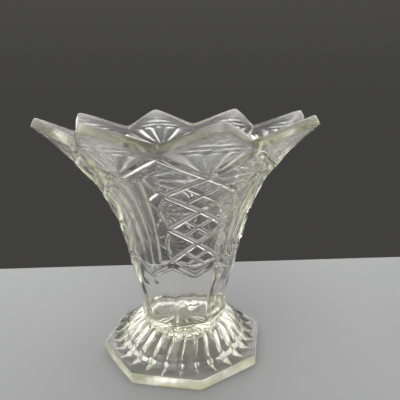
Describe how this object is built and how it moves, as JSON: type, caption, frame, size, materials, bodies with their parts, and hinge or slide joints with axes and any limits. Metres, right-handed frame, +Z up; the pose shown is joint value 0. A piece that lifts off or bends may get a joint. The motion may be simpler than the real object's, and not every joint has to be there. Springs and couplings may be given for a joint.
{
  "type": "pressed glass vase",
  "caption": "Flared pressed-glass vase with a pointed scalloped rim, lattice and reeded panels, a faceted stem and an octagonal ribbed foot.",
  "frame": {"origin": "centre of the foot's underside, on the vase's axis", "axes": "+Z up along the vase's axis, -Y through the middle of the first lattice panel and its rim tip, +X to the right of it"},
  "size_m": [0.209, 0.209, 0.19],
  "materials": {
    "clear_glass": "clear pressed glass, fire-polished, faint yellow-green tint",
    "edge_glass": "the same glass where it is seen edge on, so its yellow-green tint is stronger"
  },
  "bodies": {
    "root": {"foot_plate": "edge_glass", "foot_dome": "clear_glass", "star_base": "clear_glass", "stem": "clear_glass", "shoulder_band": "edge_glass", "lattice_panel_1": "clear_glass", "reed_panel_1": "clear_glass", "lattice_panel_2": "clear_glass", "reed_panel_2": "clear_glass", "lattice_panel_3": "clear_glass", "reed_panel_3": "clear_glass", "lattice_panel_4": "clear_glass", "reed_panel_4": "clear_glass", "rim_point_1": "edge_glass", "rim_point_2": "edge_glass", "rim_point_3": "edge_glass", "rim_point_4": "edge_glass", "rim_point_5": "edge_glass", "rim_point_6": "edge_glass", "rim_point_7": "edge_glass", "rim_point_8": "edge_glass"}
  },
  "joints": []
}
